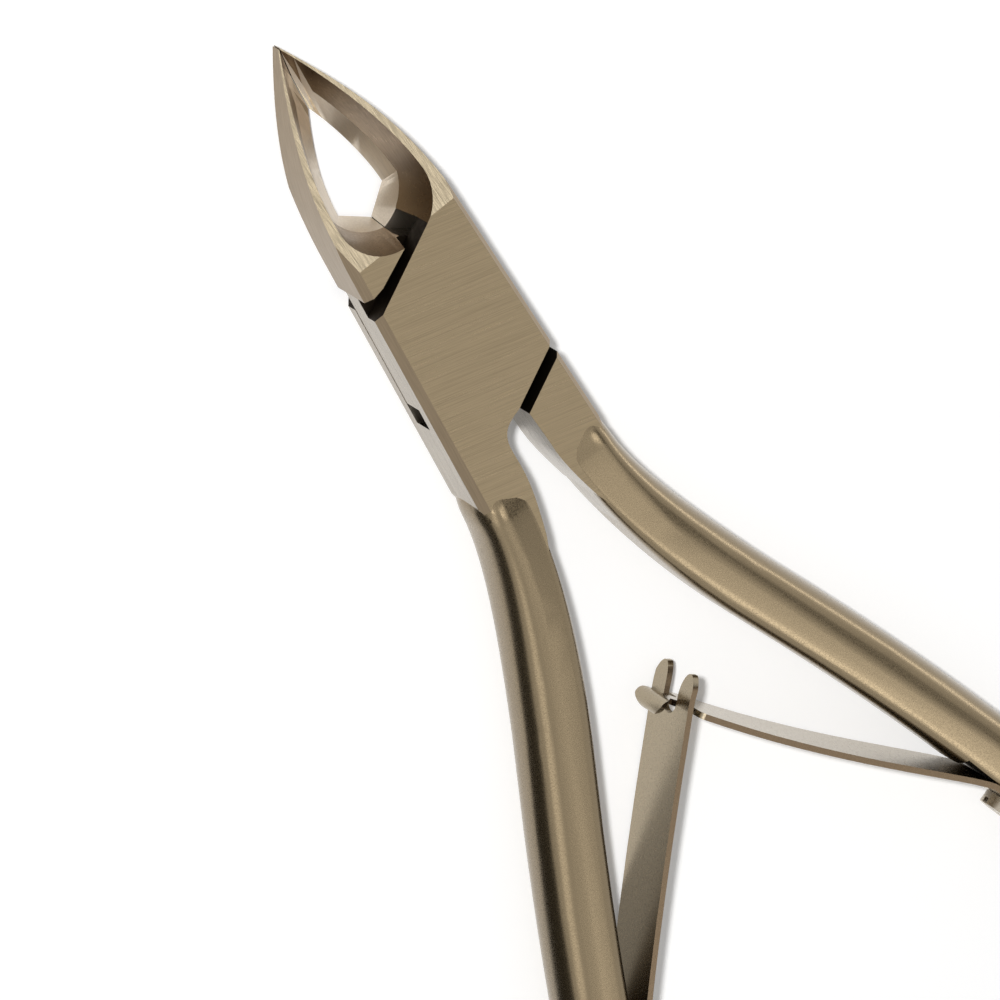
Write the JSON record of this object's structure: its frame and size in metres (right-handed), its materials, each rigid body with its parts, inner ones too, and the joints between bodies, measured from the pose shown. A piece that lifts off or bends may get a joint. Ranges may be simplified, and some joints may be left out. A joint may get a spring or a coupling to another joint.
{
  "type": "cuticle nipper",
  "caption": "Box-joint cuticle nipper with a hollowed pointed jaw, rounded curved handles and a pair of interlocking leaf springs that push the handles apart.",
  "frame": {"origin": "on the pivot axis, where it meets the joint's flat back face", "axes": "+Z along the pivot axis out of the joint's front face, +Y to the jaw tips, +X to the right seen from the front"},
  "size_m": [0.0534, 0.1056, 0.0056],
  "materials": {
    "lever_steel": "satin champagne-bronze steel, ground flats",
    "pin_steel": "ground flush with the back face",
    "spring_steel": "satin spring strip",
    "screw_steel": "turned, slotted head"
  },
  "bodies": {
    "box_side": {"outer_lever": "lever_steel", "pivot_pin": "pin_steel", "left_spring": "spring_steel", "left_spring_screw": "screw_steel"},
    "tongue_side": {"inner_lever": "lever_steel", "right_spring": "spring_steel", "right_spring_screw": "screw_steel"}
  },
  "joints": [
    {"name": "lever_pivot", "type": "hinge", "parent": "box_side", "child": "tongue_side", "pos_m": [0, 0, 0], "axis": [0, 0, 1], "range_deg": [0, 14], "stiffness_Nm_per_rad": 0.6, "springref_deg": 17.19, "deforming": ["left_spring", "right_spring"]}
  ]
}
